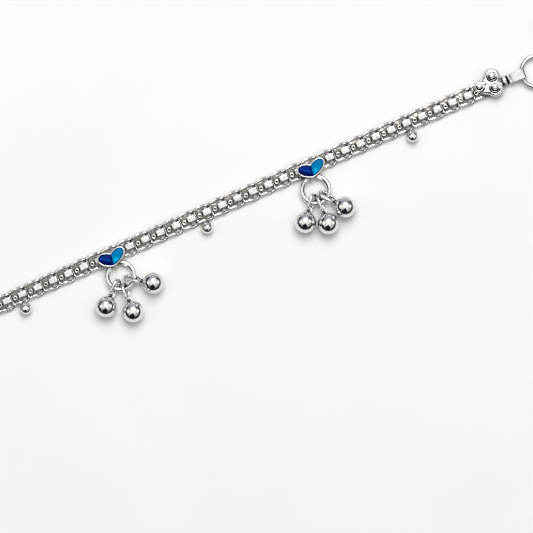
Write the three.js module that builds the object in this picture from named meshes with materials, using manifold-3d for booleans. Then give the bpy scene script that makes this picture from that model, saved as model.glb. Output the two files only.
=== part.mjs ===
// A payal anklet in polished silver, lying closed on a flat surface: a flat fancy chain with seven enamelled
// heart stations, each with a ring and three bells, small drop beads between them, and a ring-and-hook clasp.
// Millimetres, +Z up. The straight front run lies along X, the clasp at its +X end, the bells on its -Y side.
import * as THREE from "three";
import { mergeGeometries, mergeVertices } from "three/addons/utils/BufferGeometryUtils.js";
import Module from "manifold-3d";

const wasm = await Module();
wasm.setup();

// Chain
const CHAIN_PITCH = 2.6;
const CHAIN_WIDTH = 2.7;
const RAIL_WIDTH = 0.45;
const RAIL_HEIGHT = 0.9;
const RAIL_SCALLOP = 0.15;
const TILE_LENGTH = 1.36;
const TILE_WIDTH = 0.96;
const TILE_TOP = 1.15;
const TILE_ROOT = 0.3;
const BRIDGE_LENGTH = 1.5;
const HALVES_GAP = 0.3;

// Heart setting and its enamel
const HEART_SPREAD = 2.05;
const HEART_TIP = 1.26;
const HEART_SHOULDER = 0.28;
const HEART_CROWN = 1.0;
const HEART_RIM = 0.25;
const HEART_THICKNESS = 0.75;
const STATION_DROP = 0.38;
const ENAMEL_DEPTH = 0.35;
const ENAMEL_CLEARANCE = 0.06;
const ENAMEL_PROUD = 0.06;
const SEAT_CLEARANCE = 0.15;

// Station ring, its hook on the setting, jump links and bells
const RING_OUTSIDE = 4.85;
const RING_WIRE = 0.65;
const RING_REST = 1.05;
const BAIL_WIRE = 0.26;
const BAIL_CLEARANCE = 0.1;
const LINK_LENGTH = 2.85;
const LINK_WIDTH = 1.8;
const LINK_WIRE = 0.34;
const BELL_DIAMETER = 3.35;
const BELL_NECK = 0.7;
const BELL_NECK_LENGTH = 0.06;
const EYE_OUTSIDE = 1.0;
const EYE_WIRE = 0.22;
const TAUT_BITE = 0.08;

// Drop beads on the lower edge of the chain
const BALL_DIAMETER = 1.85;
const BALL_NECK = 0.75;
const BALL_NECK_LENGTH = 0.06;
const BALL_CLEARANCE = 0.06;

// Clasp: lobed end caps, straps with a curled end, and the ring that both hook into
const CAP_BIG_LOBE = 2.48;
const CAP_SMALL_LOBE = 1.74;
const CAP_LOBE_SPACING = 2.0;
const CAP_LENGTH = 2.35;
const CAP_EDGE = 0.8;
const CAP_DOME = 0.55;
const CAP_BOSS = 1.3;
const CAP_BOSS_RISE = 0.18;
const CAP_BRIDGE_WIDTH = 1.5;
const CAP_BRIDGE_THICKNESS = 0.35;
const STRAP_WIDTH = 1.33;
const STRAP_THICKNESS = 0.35;
const STRAP_REACH = 3.2;
const CLASP_RING_OUTSIDE = 5.5;
const CLASP_RING_WIRE = 0.58;
const HOOK_CLEARANCE = 0.15;

// Places along the chain, measured from its clasp end. The drop beads lie so many heart spacings past the
// first heart.
const CHAIN_START = new THREE.Vector2(29.33, 0.4);
const FIRST_HEART_AT = 29.34;
const HEART_SPACING = 33.83;
const HEART_COUNT = 7;
const BALLS_PAST_FIRST = [-0.4815, 0.5474, 1.4552, 2.5214, 3.521, 4.521, 5.521, 6.398];

// Where the clasp ring lies, and the way each end cap points to it
const CLASP_RING_CENTRE = new THREE.Vector2(38, -0.5);
const CLASP_ANGLE_A = -9;
const CLASP_ANGLE_B = 225;

// The corners of the loop as it lies, from the front run round to the back, in heart spacings from the first
// heart, with their bend radii. One more corner lies behind the hook strap's cap, on that cap's own line.
const FAR_CORNERS = [
  { x: -2.084, y: 0.011, bend: 11 },
  { x: -1.324, y: 1.658, bend: 12 },
];
const CAP_LEAD = 0.474;
const CAP_LEAD_BEND = 0.284;

// How the three bells of a station lie: the place of the ring from the chain's middle, and for each bell its
// place from there, in mm, with the roll of its jump link and the nod of its neck in degrees.
const STATION_LAY = {
  first: {
    ring: { x: -0.76, y: -3.5 },
    bells: [
      { x: -4.29, y: -7.3, roll: 62, nod: 14 },
      { x: -1.13, y: -8.93, roll: 75, nod: 14 },
      { x: 2.3, y: -7.64, roll: 56, nod: 14 },
    ],
  },
  second: {
    ring: { x: 0.08, y: -3.42 },
    bells: [
      { x: -3.92, y: -6.67, roll: 58, nod: 14 },
      { x: -0.42, y: -9.15, roll: 66, nod: 14 },
      { x: 4.24, y: -6.28, roll: 64, nod: 7 },
    ],
  },
};

const SILVER = new THREE.MeshStandardMaterial({ color: 0xd9d8d6, roughness: 0.12, metalness: 1 });
const DARK_ENAMEL = new THREE.MeshStandardMaterial({ color: 0x08268c, roughness: 0.15, metalness: 0 });
const LIGHT_ENAMEL = new THREE.MeshStandardMaterial({ color: 0x0090cc, roughness: 0.15, metalness: 0 });

const radians = THREE.MathUtils.degToRad;

// A geometry as a solid that can be joined and cut.
function solid(geometry) {
  const bare = geometry.clone();
  bare.deleteAttribute("normal");
  bare.deleteAttribute("uv");
  const merged = mergeVertices(bare, 1e-4);
  return new wasm.Manifold(
    new wasm.Mesh({
      numProp: 3,
      vertProperties: merged.attributes.position.array,
      triVerts: new Uint32Array(merged.index.array),
    }),
  );
}

// A solid back as a geometry.
function geometryOf(body) {
  const mesh = body.getMesh();
  const geometry = new THREE.BufferGeometry();
  geometry.setAttribute("position", new THREE.BufferAttribute(mesh.vertProperties, 3));
  geometry.setIndex(new THREE.BufferAttribute(mesh.triVerts, 1));
  geometry.computeVertexNormals();
  return geometry;
}

function joined(geometries) {
  return geometries.map(solid).reduce((whole, next) => whole.add(next));
}

function named(name, geometry, material) {
  const mesh = new THREE.Mesh(geometry, material);
  mesh.name = name;
  return mesh;
}

function prism(points, height, base) {
  return new THREE.ExtrudeGeometry(new THREE.Shape(points), { depth: height, bevelEnabled: false }).translate(
    0,
    0,
    base,
  );
}

function box(length, width, base, top) {
  return new THREE.BoxGeometry(length, width, top - base).translate(0, 0, (base + top) / 2);
}

// Moves every corner of a closed outline outwards by a distance, with mitred corners.
function outset(points, distance) {
  const outward = THREE.ShapeUtils.area(points) > 0 ? distance : -distance;
  return points.map((point, i) => {
    const before = point.clone().sub(points.at(i - 1)).normalize();
    const after = points[(i + 1) % points.length].clone().sub(point).normalize();
    const side = new THREE.Vector2(before.y + after.y, -before.x - after.x).normalize();
    const mitre = Math.max(0.5, side.x * before.y - side.y * before.x);
    return point.clone().addScaledVector(side, outward / mitre);
  });
}

// Clasp directions and the points where the two caps sit over the chain's ends.
const hookReach = CLASP_RING_OUTSIDE / 2 - CLASP_RING_WIRE / 2;
const capToRing = CAP_LENGTH + CAP_BIG_LOBE / 2 + HOOK_CLEARANCE + STRAP_REACH + hookReach;
const wayOf = (angle) => new THREE.Vector2(Math.cos(radians(angle)), Math.sin(radians(angle)));
const capPlaceA = CLASP_RING_CENTRE.clone().addScaledVector(wayOf(CLASP_ANGLE_A), -capToRing);
const capPlaceB = CLASP_RING_CENTRE.clone().addScaledVector(wayOf(CLASP_ANGLE_B), -capToRing);

// The chain's middle line as one path of straights and round bends.
function chainRoute() {
  const corners = FAR_CORNERS.map(({ x, y, bend }) => ({
    at: new THREE.Vector2(x, y).multiplyScalar(HEART_SPACING),
    bend,
  }));
  const lead = capPlaceB.clone().addScaledVector(wayOf(CLASP_ANGLE_B), -CAP_LEAD * HEART_SPACING);
  corners.push({ at: lead, bend: CAP_LEAD_BEND * HEART_SPACING });
  const stops = [CHAIN_START, ...corners.map((corner) => corner.at), capPlaceB];
  const path = new THREE.Path();
  path.moveTo(CHAIN_START.x, CHAIN_START.y);
  corners.forEach(({ at, bend }, i) => {
    const into = at.clone().sub(stops[i]).normalize();
    const out = stops[i + 2].clone().sub(at).normalize();
    const turn = Math.acos(into.dot(out));
    const clockwise = into.cross(out) < 0;
    const cut = bend * Math.tan(turn / 2);
    const entry = at.clone().addScaledVector(into, -cut);
    const inward = clockwise ? -1 : 1;
    const centre = entry.clone().add(new THREE.Vector2(-into.y, into.x).multiplyScalar(inward * bend));
    const from = entry.clone().sub(centre).angle();
    path.lineTo(entry.x, entry.y);
    path.absarc(centre.x, centre.y, bend, from, from + inward * turn, clockwise);
  });
  path.lineTo(capPlaceB.x, capPlaceB.y);
  return path;
}

const route = chainRoute();
const routeLength = route.getLength();
const linkCount = Math.round(routeLength / CHAIN_PITCH);
const pitch = routeLength / linkCount;

// A point of the chain's plan: so many links from the clasp end, and so far to the inside of the loop.
function chainPoint(links, inward) {
  const share = THREE.MathUtils.clamp((links * pitch) / routeLength, 0, 1);
  const at = route.getPoint(share);
  const ahead = route.getTangent(THREE.MathUtils.clamp(share, 0.001, 0.999));
  return new THREE.Vector2(at.x + ahead.y * inward, at.y - ahead.x * inward);
}

// The turn of a station there: 0 on the front run.
function chainTurn(links) {
  const ahead = route.getTangent((links * pitch) / routeLength);
  return Math.atan2(ahead.y, ahead.x) - Math.PI;
}

// A stretch of the chain: a pierced band with scalloped rails, an opening in each link and tiles between.
function chainStretch(firstLink, lastLink, trim) {
  const half = CHAIN_WIDTH / 2;
  const outline = [];
  const steps = 2 * (lastLink - firstLink);
  for (const side of [1, -1])
    for (let i = 0; i <= steps; i += 1) {
      const step = side > 0 ? i : steps - i;
      const waist = step % 2 === 0 ? RAIL_SCALLOP : 0;
      const inset = step === steps ? trim / pitch : 0;
      outline.push(chainPoint(firstLink + step / 2 - inset, side * (half - waist)));
    }
  const band = solid(prism(outline, RAIL_HEIGHT, 0));
  const placed = (shape, links) => {
    const at = chainPoint(links, 0);
    return shape.rotateZ(chainTurn(links)).translate(at.x, at.y, 0);
  };
  const openings = [];
  const tiles = [];
  for (let link = firstLink; link < lastLink; link += 1) {
    const opening = box(pitch - BRIDGE_LENGTH, CHAIN_WIDTH - 2 * RAIL_WIDTH, -RAIL_HEIGHT, 2 * RAIL_HEIGHT);
    openings.push(placed(opening, link + 0.5));
    if (link > firstLink) tiles.push(placed(box(TILE_LENGTH, TILE_WIDTH, TILE_ROOT, TILE_TOP), link));
  }
  const pierced = band.subtract(solid(mergeGeometries(openings)));
  return geometryOf(pierced.add(solid(mergeGeometries(tiles))));
}

// One lobe of the heart in plan: from the tip round the outside to the notch. Side is -1 for the left lobe.
function heartLobe(side) {
  const tip = new THREE.Vector2(-0.1 * HEART_SPREAD, -HEART_TIP);
  const notch = new THREE.Vector2(0, HEART_SHOULDER);
  const outer = new THREE.Vector2(side * HEART_SPREAD, HEART_SHOULDER);
  const lobe = new THREE.Path();
  lobe.moveTo(tip.x, tip.y);
  lobe.bezierCurveTo(
    tip.x + side * 0.4 * HEART_SPREAD,
    -0.9 * HEART_TIP,
    side * HEART_SPREAD,
    -0.35 * HEART_TIP,
    outer.x,
    outer.y,
  );
  lobe.bezierCurveTo(outer.x, HEART_CROWN, side * 0.42 * HEART_SPREAD, HEART_CROWN, notch.x, notch.y);
  const points = lobe.getPoints(3);
  return points.filter((point, i) => i === 0 || point.distanceTo(points[i - 1]) > 1e-6);
}

const heartBase = TILE_TOP + SEAT_CLEARANCE;
const heartTop = heartBase + HEART_THICKNESS;
const ringRadius = (RING_OUTSIDE - RING_WIRE) / 2;
const ringHoldHeight = heartBase - SEAT_CLEARANCE - RING_WIRE / 2;

// Heart setting: a rimmed plate with two cells over the chain's tile, and a hook below that holds the ring.
function heartSetting(lay) {
  const left = heartLobe(-1);
  const right = heartLobe(1);
  const plan = [...left.slice(0, -1), ...right.toReversed().slice(0, -1)];
  const plate = prism(outset(plan, HEART_RIM), HEART_THICKNESS, heartBase);
  const cellFloor = heartTop - ENAMEL_DEPTH;
  const cells = prism(outset(plan, ENAMEL_CLEARANCE), HEART_THICKNESS, cellFloor);
  const hookRadius = RING_WIRE / 2 + BAIL_CLEARANCE + BAIL_WIRE / 2;
  const hookPath = new THREE.CatmullRomCurve3(
    [60, 110, 160, 210, 250].map((angle) => {
      const y = lay.ring.y + ringRadius + hookRadius * Math.cos(radians(angle));
      return new THREE.Vector3(lay.ring.x, y, ringHoldHeight + hookRadius * Math.sin(radians(angle)));
    }),
  );
  const section = new THREE.EllipseCurve(0, 0, BAIL_WIRE / 2, BAIL_WIRE / 2).getPoints(5).slice(1);
  const hook = new THREE.ExtrudeGeometry(new THREE.Shape(section), {
    steps: 5,
    extrudePath: hookPath,
    bevelEnabled: false,
  });
  return geometryOf(joined([plate, hook]).subtract(solid(cells)));
}

// Enamel of one lobe, a little proud of the rim, with half a gap along the middle line.
function enamel(side) {
  const inset = outset(heartLobe(side), -ENAMEL_CLEARANCE);
  const base = heartTop - ENAMEL_DEPTH + ENAMEL_CLEARANCE;
  return prism(inset, heartTop + ENAMEL_PROUD - base, base);
}

// A round wire ring in the XY plane, stretched to an oval when it is longer than wide.
function wireLoop(length, width, wire, sides) {
  const loop = new THREE.TorusGeometry((width - wire) / 2, wire / 2, 5, sides);
  const place = loop.attributes.position;
  for (let i = 0; i < place.count; i += 1)
    place.setX(i, place.getX(i) + (Math.sign(Math.round(place.getX(i) * 1e4)) * (length - width)) / 2);
  return loop;
}

// A bell as a solid of revolution with its neck along +X, and an eye there for the jump link.
const bellCentreToEye = BELL_DIAMETER / 2 + BELL_NECK_LENGTH + EYE_OUTSIDE / 2 - EYE_WIRE / 2;
function bell() {
  const body = roundDrop(BELL_DIAMETER, BELL_NECK, BELL_NECK_LENGTH + EYE_WIRE / 2, 4);
  const eye = wireLoop(EYE_OUTSIDE, EYE_OUTSIDE, EYE_WIRE, 6).translate(bellCentreToEye, 0, 0);
  return joined([body, eye]);
}

// A sphere with a straight neck along +X.
function roundDrop(diameter, neck, neckLength, bands) {
  const radius = diameter / 2;
  const neckAngle = Math.asin(neck / diameter);
  const profile = [new THREE.Vector2(0, -radius)];
  for (let i = 1; i <= bands; i += 1) {
    const angle = ((Math.PI - neckAngle) * i) / bands;
    profile.push(new THREE.Vector2(radius * Math.sin(angle), -radius * Math.cos(angle)));
  }
  profile.push(new THREE.Vector2(neck / 2, radius + neckLength), new THREE.Vector2(0, radius + neckLength));
  return new THREE.LatheGeometry(profile, 10).rotateZ(-Math.PI / 2);
}

// The station's ring: held high at the heart, resting low at the bells.
const ringFall = Math.asin((ringHoldHeight - RING_REST) / (2 * ringRadius));
function stationRing(lay) {
  const ring = wireLoop(RING_OUTSIDE, RING_OUTSIDE, RING_WIRE, 12);
  ring.translate(0, -ringRadius, 0).rotateX(ringFall);
  return ring.translate(lay.ring.x, lay.ring.y + ringRadius, ringHoldHeight);
}

// Where a bell lies and its jump link runs. Loose, the bell lies where the table says and its link has slack,
// falling to the ring no further than the surface lets it.
// Taut, the bell is pulled out until the link bears on the ring and on the bell's eye, and they are one body.
const linkSpan = LINK_LENGTH - LINK_WIRE;
const onWire = (RING_WIRE + LINK_WIRE) / 2 - TAUT_BITE;
const inEye = (EYE_OUTSIDE - EYE_WIRE) / 2 - (EYE_WIRE + LINK_WIRE) / 2 + TAUT_BITE;
function hang(lay, place, taut) {
  const outward = new THREE.Vector3(place.x - lay.ring.x, place.y - lay.ring.y, 0).normalize();
  const onRing = new THREE.Vector3(lay.ring.x, lay.ring.y, 0).addScaledVector(outward, ringRadius);
  onRing.z = ringHoldHeight - Math.tan(ringFall) * (lay.ring.y + ringRadius - onRing.y);
  const eyeReach = bellCentreToEye * Math.cos(radians(place.nod));
  const eyeHeight = BELL_DIAMETER / 2 - bellCentreToEye * Math.sin(radians(place.nod));
  const eye = new THREE.Vector3(place.x, place.y, 0).addScaledVector(outward, -eyeReach);
  if (taut) {
    const reach = linkSpan - onWire + inEye;
    const level = Math.sqrt(reach ** 2 - (eyeHeight - onRing.z) ** 2);
    eye.set(onRing.x, onRing.y, 0).addScaledVector(outward, level);
  }
  eye.z = eyeHeight;
  const along = onRing.clone().sub(eye).normalize();
  if (!taut) {
    const fall = Math.max(along.z, (LINK_WIDTH / 2 + SEAT_CLEARANCE - eye.z) / (linkSpan / 2));
    along.copy(outward).multiplyScalar(-Math.sqrt(1 - fall ** 2)).setZ(fall);
  }
  const backlash = taut ? inEye : 0;
  return {
    bellAt: eye.clone().addScaledVector(outward, eyeReach).setZ(BELL_DIAMETER / 2),
    linkAt: eye.clone().addScaledVector(along, linkSpan / 2 + backlash),
    along,
    outward,
  };
}

function placedBell({ bellAt, outward }, nod) {
  const shape = geometryOf(bell()).rotateY(radians(nod)).rotateZ(Math.atan2(-outward.y, -outward.x));
  return shape.translate(bellAt.x, bellAt.y, bellAt.z);
}

function placedLink({ linkAt, along }, roll) {
  const level = new THREE.Vector3(0, 0, 1).cross(along).normalize();
  const frame = new THREE.Matrix4().makeBasis(along, level, along.clone().cross(level)).setPosition(linkAt);
  const turn = new THREE.Matrix4().makeRotationX(radians(roll));
  return wireLoop(LINK_LENGTH, LINK_WIDTH, LINK_WIRE, 10).applyMatrix4(frame.multiply(turn));
}

// A heart station, every piece of it a mesh of its own, or the ring, links and bells as one strung cluster.
function station(number, lay, strung) {
  const group = new THREE.Group();
  const name = (piece) => `station_${number}_${piece}`;
  group.add(named(name("heart_setting"), heartSetting(lay), SILVER));
  group.add(named(name("enamel_dark"), enamel(-1), DARK_ENAMEL));
  group.add(named(name("enamel_light"), enamel(1), LIGHT_ENAMEL));
  const pieces = [["ring", stationRing(lay)]];
  lay.bells.forEach((place, i) => {
    const hung = hang(lay, place, strung);
    pieces.push([`link_${i + 1}`, placedLink(hung, place.roll)]);
    pieces.push([`bell_${i + 1}`, placedBell(hung, place.nod)]);
  });
  if (strung) {
    const cluster = joined(pieces.map(([, shape]) => shape));
    group.add(named(name("bell_cluster"), geometryOf(cluster), SILVER));
  } else pieces.forEach(([piece, shape]) => group.add(named(name(piece), shape, SILVER)));
  return group;
}

function dropBall(number, links) {
  const reach = CHAIN_WIDTH / 2 + BALL_CLEARANCE;
  const drop = roundDrop(BALL_DIAMETER, BALL_NECK, BALL_NECK_LENGTH, 3);
  drop.rotateZ(Math.PI / 2).translate(0, -reach - BALL_NECK_LENGTH - BALL_DIAMETER / 2, BALL_DIAMETER / 2);
  const at = chainPoint(links, 0);
  const mesh = named(`ball_${number}`, drop, SILVER);
  mesh.position.set(at.x, at.y, 0);
  mesh.rotation.z = chainTurn(links);
  return mesh;
}

// A domed round lobe standing from base to base + edge + dome, with a raised boss.
function lobe(diameter, base, edge, dome, boss) {
  const radius = diameter / 2;
  const profile = [
    new THREE.Vector2(0, base),
    new THREE.Vector2(radius, base),
    new THREE.Vector2(radius, base + edge),
  ];
  if (boss) {
    const bossBase = base + edge + dome * (1 - boss / diameter);
    profile.push(new THREE.Vector2(boss / 2, bossBase));
    profile.push(new THREE.Vector2(boss / 4, bossBase + CAP_BOSS_RISE));
  } else profile.push(new THREE.Vector2(radius * 0.6, base + edge + dome * 0.75));
  profile.push(new THREE.Vector2(0, base + edge + dome + (boss ? CAP_BOSS_RISE : 0)));
  return new THREE.LatheGeometry(profile, 10).rotateX(Math.PI / 2);
}

// End cap, along +X from its small lobe over the chain's end to its two big lobes.
function endCap() {
  const bridgeBase = TILE_TOP + SEAT_CLEARANCE;
  const small = lobe(CAP_SMALL_LOBE, bridgeBase, CAP_BRIDGE_THICKNESS, CAP_DOME / 2, 0);
  const bigLobes = [1, -1].map((side) => {
    const bigLobe = lobe(CAP_BIG_LOBE, 0, CAP_EDGE, CAP_DOME, CAP_BOSS);
    return bigLobe.translate(CAP_LENGTH, (side * CAP_LOBE_SPACING) / 2, 0);
  });
  const bridge = box(CAP_LENGTH, CAP_BRIDGE_WIDTH, bridgeBase, bridgeBase + CAP_BRIDGE_THICKNESS);
  bridge.translate(CAP_LENGTH / 2, 0, 0);
  const root = box(CAP_SMALL_LOBE, CAP_BRIDGE_WIDTH, TILE_ROOT, bridgeBase + CAP_BRIDGE_THICKNESS);
  root.translate(CAP_LENGTH, 0, 0);
  return geometryOf(joined([small, ...bigLobes, bridge, root]));
}

// Strap seen from the side: flat from the cap, over the ring's wire and curled under it, with X along it.
const wireHeight = STRAP_THICKNESS + HOOK_CLEARANCE + CLASP_RING_WIRE / 2;
function hookStrap() {
  const curl = CLASP_RING_WIRE / 2 + HOOK_CLEARANCE + STRAP_THICKNESS / 2;
  const wireAt = capToRing - hookReach;
  const start = CAP_LENGTH + CAP_BIG_LOBE / 2 + HOOK_CLEARANCE;
  const middleLine = [
    new THREE.Vector2(start, wireHeight + curl * 0.6),
    new THREE.Vector2(wireAt - curl, wireHeight + curl),
  ];
  for (const angle of [90, 50, 10, -30, -70, -100])
    middleLine.push(new THREE.Vector2(wireAt, wireHeight).addScaledVector(wayOf(angle), curl));
  const across = middleLine.map((point, i) => {
    const before = middleLine[Math.max(i - 1, 0)];
    const after = middleLine[Math.min(i + 1, middleLine.length - 1)];
    const along = after.clone().sub(before).normalize();
    return new THREE.Vector2(-along.y, along.x).multiplyScalar(STRAP_THICKNESS / 2);
  });
  const upper = middleLine.map((point, i) => point.clone().add(across[i]));
  const lower = middleLine.map((point, i) => point.clone().sub(across[i]));
  const side = new THREE.Shape([...upper, ...lower.toReversed()]);
  const strap = new THREE.ExtrudeGeometry(side, { depth: STRAP_WIDTH, bevelEnabled: false });
  return strap.translate(0, 0, -STRAP_WIDTH / 2).rotateX(Math.PI / 2);
}

function claspEnd(capName, strapName, place, angle) {
  const group = new THREE.Group();
  group.add(named(capName, endCap(), SILVER));
  group.add(named(strapName, hookStrap(), SILVER));
  group.position.set(place.x, place.y, 0);
  group.rotation.z = radians(angle);
  return group;
}

function anklet() {
  const loop = new THREE.Group();
  const middleLink = Math.round(linkCount / 2);
  loop.add(named("chain_front", chainStretch(0, middleLink, HALVES_GAP), SILVER));
  loop.add(named("chain_back", chainStretch(middleLink, linkCount, 0), SILVER));
  for (let i = 0; i < HEART_COUNT; i += 1) {
    const links = (FIRST_HEART_AT + i * HEART_SPACING) / pitch;
    const lay = i % 2 === 0 ? STATION_LAY.first : STATION_LAY.second;
    const heart = station(i + 1, lay, i > 1);
    const at = chainPoint(links, -STATION_DROP);
    heart.position.set(at.x, at.y, 0);
    heart.rotation.z = chainTurn(links);
    loop.add(heart);
  }
  BALLS_PAST_FIRST.forEach((spacings, i) => {
    const links = (FIRST_HEART_AT + spacings * HEART_SPACING) / pitch;
    loop.add(dropBall(i + 1, links));
  });
  loop.add(claspEnd("end_cap_a", "clasp_strap", capPlaceA, CLASP_ANGLE_A));
  loop.add(claspEnd("end_cap_b", "hook_strap", capPlaceB, CLASP_ANGLE_B));
  const hoop = wireLoop(CLASP_RING_OUTSIDE, CLASP_RING_OUTSIDE, CLASP_RING_WIRE, 16);
  const ring = named("clasp_ring", hoop, SILVER);
  ring.position.set(CLASP_RING_CENTRE.x, CLASP_RING_CENTRE.y, wireHeight);
  loop.add(ring);
  return loop;
}

// The origin is under the middle of the whole loop, on the surface it lies on.
const loop = anklet();
const bounds = new THREE.Box3().setFromObject(loop, true);
const middle = bounds.getCenter(new THREE.Vector3());
loop.position.set(-middle.x, -middle.y, -bounds.min.z);
const group = new THREE.Group();
group.add(loop);

export default group;
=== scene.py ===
"""A payal anklet in polished silver with enamelled hearts, laid closed on a pale table."""

from math import acos, asin, atan2, ceil, copysign, cos, exp, hypot, log, pi, radians, sin, sqrt, tan, tau

import bmesh
import bpy
from bpy.props import FloatProperty, FloatVectorProperty, IntProperty, PointerProperty
from mathutils import Matrix, Vector


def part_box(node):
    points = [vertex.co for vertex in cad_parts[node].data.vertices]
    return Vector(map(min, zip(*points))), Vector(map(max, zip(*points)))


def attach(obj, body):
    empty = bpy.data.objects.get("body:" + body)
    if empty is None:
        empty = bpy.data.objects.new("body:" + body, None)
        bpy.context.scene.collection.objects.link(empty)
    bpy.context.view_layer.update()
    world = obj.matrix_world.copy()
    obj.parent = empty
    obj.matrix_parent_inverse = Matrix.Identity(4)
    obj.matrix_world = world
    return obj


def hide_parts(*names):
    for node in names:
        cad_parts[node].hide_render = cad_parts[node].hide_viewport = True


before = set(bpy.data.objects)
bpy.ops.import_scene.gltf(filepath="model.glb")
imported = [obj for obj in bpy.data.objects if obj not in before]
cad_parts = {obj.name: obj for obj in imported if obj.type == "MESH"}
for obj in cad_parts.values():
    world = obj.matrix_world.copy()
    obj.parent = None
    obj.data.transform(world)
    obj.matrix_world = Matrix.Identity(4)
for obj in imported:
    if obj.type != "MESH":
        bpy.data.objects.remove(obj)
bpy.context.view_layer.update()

bl_info = {
    "name": "Payal Anklet",
    "version": (1, 0, 0),
    "blender": (4, 5, 0),
    "location": "View3D > Sidebar > Anklet",
    "description": "Builds a silver anklet with enamelled hearts and bells on a pale table",
    "category": "Add Mesh",
}

MM = 0.001

# The loop as it lies, in millimetres from the first heart, +X towards the clasp and +Y into the loop: the
# clasp end of the chain, the clasp ring, the way of each end cap, and how far the clasp pieces lie askew.
CHAIN_START = (29.33, 0.4)
CLASP_RING_CENTRE = (38.0, -0.5)
CAP_ANGLES = {"a": -9.0, "b": 225.0}
CAP_SKEW = 2.5
STRAP_SKEW = 6.0
CAP_AHEAD = 0.1 * MM

# Places along the chain from its clasp end. The drop beads are given in heart spacings past the first heart.
FIRST_HEART_AT = 29.34
HEART_SPACING = 33.83
HEARTS = 7
BEADS_PAST_FIRST = (-0.4815, 0.5474, 1.4552, 2.5214, 3.521, 4.521, 5.521, 6.398)

# The corners of the loop, in heart spacings from the first heart, each with its bend radius. One more lies
# behind the end cap that leads to the back run, on that cap's own line.
FAR_CORNERS = ((-2.084, 0.011, 11.0), (-1.324, 1.658, 12.0))
CAP_LEAD = 0.474
CAP_LEAD_BEND = 0.284

# How the three bells of a station lie: the ring's centre, then each bell's centre, the roll of its jump link
# and the nod of its neck, in millimetres and degrees.
LAYS = (
    {"ring": (-0.76, -3.35), "bells": ((-4.29, -7.3, 62, 14), (-1.13, -8.93, 75, 14), (2.3, -7.64, 56, 14))},
    {"ring": (0.08, -3.27), "bells": ((-3.92, -6.67, 58, 14), (-0.42, -9.09, 66, 14), (4.24, -6.28, 64, 7))},
)


def length(name, description, millimetres):
    """A size in the panel, kept in metres."""
    kind = {"subtype": "DISTANCE", "unit": "LENGTH", "precision": 5}
    return FloatProperty(name=name, description=description, default=millimetres * MM, min=0.0, **kind)


def colour(name, description, value):
    """A colour in the panel."""
    return FloatVectorProperty(name=name, description=description, subtype="COLOR", default=value)


class ChainSettings(bpy.types.PropertyGroup):
    """Sizes of the flat chain's links."""

    pitch: length("Pitch", "Distance from one tile to the next", 2.6)
    half_width: length("Half width", "From the middle to the middle of the side wire", 1.115)
    side_wire: length("Side wire", "Thickness of a frame link's long sides", 0.44)
    bar_wire: length("Bar wire", "Thickness of a frame link's cross bars", 0.24)
    tile_length: length("Tile length", "Length of the strap over two cross bars", 1.34)
    tile_width: length("Tile width", "Width of the strap over two cross bars", 0.94)
    tile_top: length("Tile top", "Height of the strap above the table", 1.13)
    eyelet: length("Eyelet", "Outer size of the small ring between tiles", 0.86)


class HeartSettings(bpy.types.PropertyGroup):
    """Sizes and colours of the enamelled hearts."""

    half_spread: length("Half spread", "From the middle to the side of a lobe", 2.05)
    tip: length("Tip", "Depth of the tip below the chain's middle", 1.26)
    shoulder: length("Shoulder", "Height of the notch and the sides", 0.28)
    crown: length("Crown", "Height that the top of each lobe pulls to", 1.0)
    rim: length("Rim", "Width of the silver rim", 0.23)
    base: length("Base", "Height of the plate above the table", 1.3)
    thickness: length("Thickness", "Thickness of the plate", 0.75)
    dark: colour("Dark enamel", "Colour of the left lobe", (0.0, 0.018, 0.205))
    light: colour("Light enamel", "Colour of the right lobe", (0.0, 0.2, 0.455))


class BellSettings(bpy.types.PropertyGroup):
    """Sizes of the station rings, jump links, bells and drop beads."""

    ring_outside: length("Station ring", "Outer size of the ring under a heart", 4.92)
    ring_wire: length("Ring wire", "Thickness of that ring's wire", 0.72)
    ring_hold: length("Ring hold", "Height of the ring at the heart", 0.825)
    ring_rest: length("Ring rest", "Height of the ring at the bells", 1.05)
    link_length: length("Link length", "Outer length of a jump link", 3.0)
    link_width: length("Link width", "Outer width of a jump link", 1.92)
    link_wire: length("Link wire", "Thickness of a jump link's wire", 0.5)
    bell: length("Bell", "Size of a bell", 3.35)
    neck: length("Neck", "Width of a bell's neck", 0.7)
    eye: length("Eye", "Outer size of a bell's eye", 1.0)
    eye_wire: length("Eye wire", "Thickness of a bell's eye", 0.24)
    bead: length("Drop bead", "Size of a drop bead on the chain's edge", 1.85)
    bead_reach: length("Bead reach", "From the chain's middle to a drop bead's middle", 2.28)


class ClaspSettings(bpy.types.PropertyGroup):
    """Sizes of the end caps, the straps and the clasp ring."""

    small_lobe: length("Small lobe", "Radius of the lobe over the chain's end", 0.87)
    big_lobe: length("Big lobe", "Radius of the two outer lobes", 1.24)
    cap_length: length("Cap length", "From the small lobe to the big ones", 2.35)
    cap_height: length("Cap height", "Height of the cap's top", 1.72)
    strap_width: length("Strap width", "Width of the straps", 1.47)
    strap_thickness: length("Strap thickness", "Thickness of the straps", 0.33)
    ring_outside: length("Clasp ring", "Outer size of the clasp ring", 5.5)
    ring_wire: length("Clasp wire", "Thickness of the clasp ring's wire", 0.64)
    ring_height: length("Clasp height", "Height of the clasp ring's middle", 0.79)
    cap_to_ring: length("Reach", "From a cap's small lobe to the clasp ring's middle", 9.4)


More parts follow.
